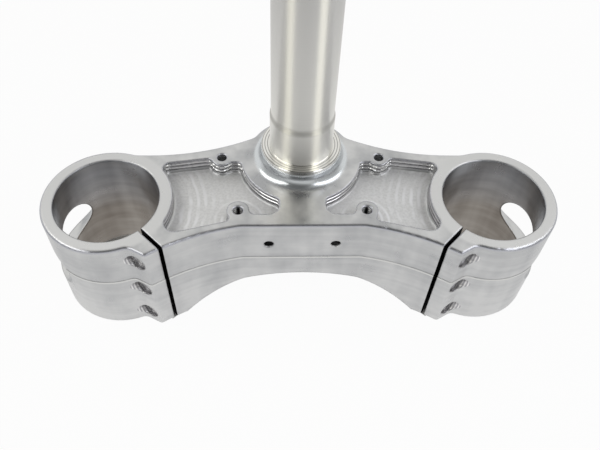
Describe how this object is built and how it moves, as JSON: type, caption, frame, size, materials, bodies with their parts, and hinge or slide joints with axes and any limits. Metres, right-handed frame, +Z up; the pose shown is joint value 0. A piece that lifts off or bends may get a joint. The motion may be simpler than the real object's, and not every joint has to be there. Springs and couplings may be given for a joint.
{
  "type": "motorcycle triple clamp",
  "caption": "Billet lower fork yoke: split fork clamps joined by an arched, pocketed bridge, with a pressed-in steering stem rising from its middle.",
  "frame": {"origin": "on the steering axis, at the shoulder of the stem that carries the lower steering bearing", "axes": "+Z up the steering axis, -Y towards the front wheel, +X and -X towards the fork tubes"},
  "size_m": [0.2798, 0.0989, 0.27],
  "materials": {
    "billet_aluminium": "machined, satin faces with polished edges",
    "turned_aluminium": "turned and polished"
  },
  "bodies": {
    "root": {"lower_yoke": "billet_aluminium", "steering_stem": "turned_aluminium"}
  },
  "joints": []
}
